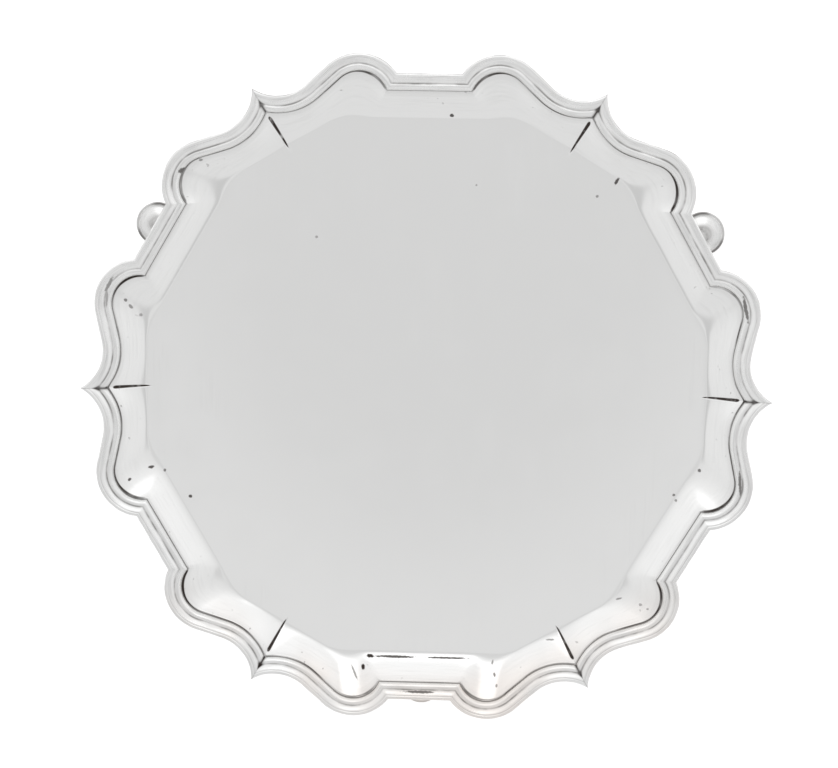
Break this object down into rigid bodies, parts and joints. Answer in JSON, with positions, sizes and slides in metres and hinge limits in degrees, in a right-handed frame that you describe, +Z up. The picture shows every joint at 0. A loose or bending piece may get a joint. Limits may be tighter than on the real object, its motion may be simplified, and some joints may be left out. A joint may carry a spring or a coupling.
{
  "type": "salver",
  "caption": "Round silver salver with a lobed and pointed moulded border, a flat floor raised at its edge and pad feet under the straight stretches of the rim.",
  "frame": {"origin": "centre of the plane that the pads stand on, on the tray's axis", "axes": "+Z up along the tray's axis; +X through a border point; one foot lies on -Y and the other two at 30 and 150 degrees from +X"},
  "size_m": [0.305, 0.3, 0.035],
  "materials": {
    "sheet_silver": "hand-polished sterling silver sheet with fine wear scratches, small pits and light tarnish in the creases",
    "border_silver": "polished cast sterling silver with dark tarnish in the grooves, the mitres and the seam",
    "foot_silver": "cast sterling silver, polished on the pads and duller on the legs"
  },
  "bodies": {
    "root": {"tray_plate": "sheet_silver", "border_section_1": "border_silver", "border_section_2": "border_silver", "border_section_3": "border_silver", "border_section_4": "border_silver", "border_section_5": "border_silver", "border_section_6": "border_silver", "foot_back_right": "foot_silver", "foot_back_left": "foot_silver", "foot_front": "foot_silver"}
  },
  "joints": []
}
